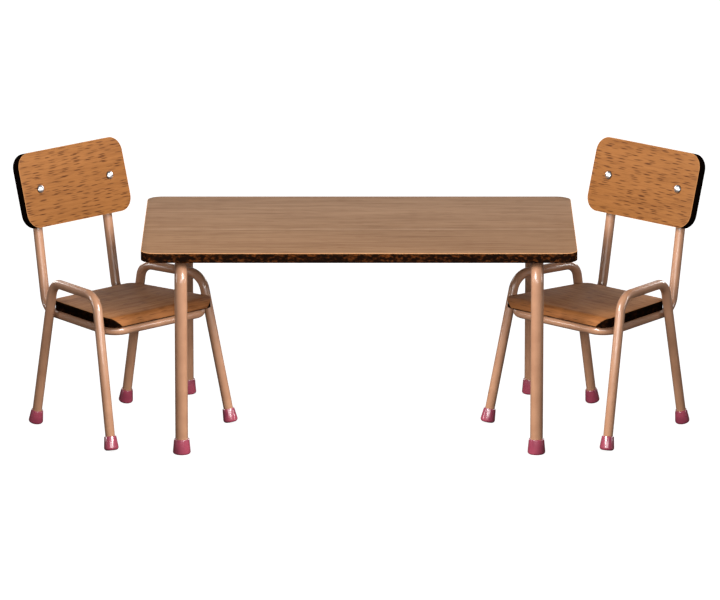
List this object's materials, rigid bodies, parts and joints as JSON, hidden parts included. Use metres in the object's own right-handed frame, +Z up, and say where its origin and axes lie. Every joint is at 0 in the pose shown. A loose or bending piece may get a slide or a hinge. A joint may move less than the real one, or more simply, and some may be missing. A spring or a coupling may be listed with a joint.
{
  "type": "kids table and chairs",
  "caption": "Miniature beech-topped table on a bent steel rod frame with a pair of matching armchairs drawn up to its ends.",
  "frame": {"origin": "on the surface that the set stands on, under the middle of the table", "axes": "+X along the table's length towards the right-hand chair, -Y towards the side that both chairs are turned to, +Z up"},
  "size_m": [0.2738, 0.1034, 0.1087],
  "materials": {
    "beech_board": "satin oiled beech veneer with charred cut edges",
    "copper_paint": "gloss copper-tan paint",
    "raspberry_vinyl": "glossy soft vinyl",
    "chrome": "polished",
    "zinc_steel": "zinc plated"
  },
  "bodies": {
    "table": {"table_foot_left_front": "raspberry_vinyl", "table_foot_left_rear": "raspberry_vinyl", "table_foot_right_front": "raspberry_vinyl", "table_foot_right_rear": "raspberry_vinyl", "table_frame_left": "copper_paint", "table_frame_right": "copper_paint", "table_screw_left_front": "zinc_steel", "table_screw_left_rear": "zinc_steel", "table_screw_right_front": "zinc_steel", "table_screw_right_rear": "zinc_steel", "table_tab_left_front": "copper_paint", "table_tab_left_rear": "copper_paint", "table_tab_right_front": "copper_paint", "table_tab_right_rear": "copper_paint", "table_top": "beech_board"},
    "left_chair": {"left_chair_back": "beech_board", "left_chair_back_nut_left": "chrome", "left_chair_back_nut_right": "chrome", "left_chair_back_screw_left": "chrome", "left_chair_back_screw_right": "chrome", "left_chair_foot_left_front": "raspberry_vinyl", "left_chair_foot_left_rear": "raspberry_vinyl", "left_chair_foot_right_front": "raspberry_vinyl", "left_chair_foot_right_rear": "raspberry_vinyl", "left_chair_seat": "beech_board", "left_chair_seat_frame": "copper_paint", "left_chair_seat_screw_left": "zinc_steel", "left_chair_seat_screw_right": "zinc_steel", "left_chair_seat_tab_left": "copper_paint", "left_chair_seat_tab_right": "copper_paint", "left_chair_side_loop_left": "copper_paint", "left_chair_side_loop_right": "copper_paint"},
    "right_chair": {"right_chair_back": "beech_board", "right_chair_back_nut_left": "chrome", "right_chair_back_nut_right": "chrome", "right_chair_back_screw_left": "chrome", "right_chair_back_screw_right": "chrome", "right_chair_foot_left_front": "raspberry_vinyl", "right_chair_foot_left_rear": "raspberry_vinyl", "right_chair_foot_right_front": "raspberry_vinyl", "right_chair_foot_right_rear": "raspberry_vinyl", "right_chair_seat": "beech_board", "right_chair_seat_frame": "copper_paint", "right_chair_seat_screw_left": "zinc_steel", "right_chair_seat_screw_right": "zinc_steel", "right_chair_seat_tab_left": "copper_paint", "right_chair_seat_tab_right": "copper_paint", "right_chair_side_loop_left": "copper_paint", "right_chair_side_loop_right": "copper_paint"}
  },
  "joints": [
    {"name": "left_chair_pull_out", "type": "slide", "parent": "table", "child": "left_chair", "axis": [-0.6972, 0.7169, 0], "range_m": [-0.005, 0.06]},
    {"name": "right_chair_pull_out", "type": "slide", "parent": "table", "child": "right_chair", "axis": [0.6972, 0.7169, 0], "range_m": [-0.005, 0.06]}
  ]
}
